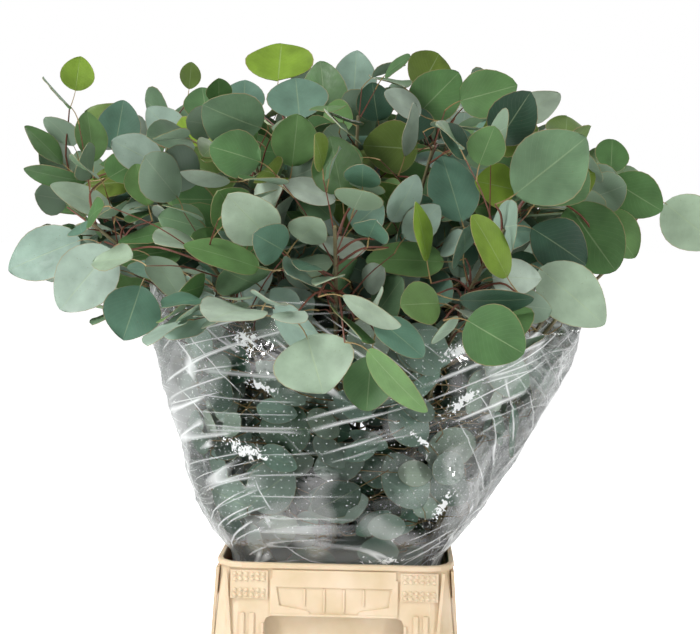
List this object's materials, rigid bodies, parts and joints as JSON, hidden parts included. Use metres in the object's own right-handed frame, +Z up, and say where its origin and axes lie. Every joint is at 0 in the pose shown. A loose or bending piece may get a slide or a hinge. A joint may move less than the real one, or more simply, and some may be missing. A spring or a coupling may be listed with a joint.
{
  "type": "eucalyptus bunch in sleeve and trade bucket",
  "caption": "Full bunch of round-leaved eucalyptus branches in a clear film sleeve, standing in a plastic flower bucket with its collar.",
  "frame": {"origin": "middle of the bucket's underside, on the floor", "axes": "+Z up along the bunch; the front of the bucket, one of its narrow sides, faces -Y"},
  "size_m": [0.8465, 0.7241, 0.8784],
  "materials": {
    "cream_plastic": "satin moulded polypropylene",
    "clear_film": "thin clear wrinkled film",
    "leaf": "waxy blue-green leaves with pale veins on red-brown twigs"
  },
  "bodies": {
    "root": {"bucket": "cream_plastic", "collar": "cream_plastic", "sleeve": "clear_film", "branch_01": "leaf", "branch_02": "leaf", "branch_03": "leaf", "branch_04": "leaf", "branch_05": "leaf", "branch_06": "leaf", "branch_07": "leaf", "branch_08": "leaf", "branch_09": "leaf", "branch_10": "leaf", "branch_11": "leaf", "branch_12": "leaf", "branch_13": "leaf", "branch_14": "leaf", "branch_15": "leaf", "branch_16": "leaf", "branch_17": "leaf", "branch_18": "leaf", "branch_19": "leaf", "branch_20": "leaf", "branch_21": "leaf", "branch_22": "leaf"}
  },
  "joints": []
}
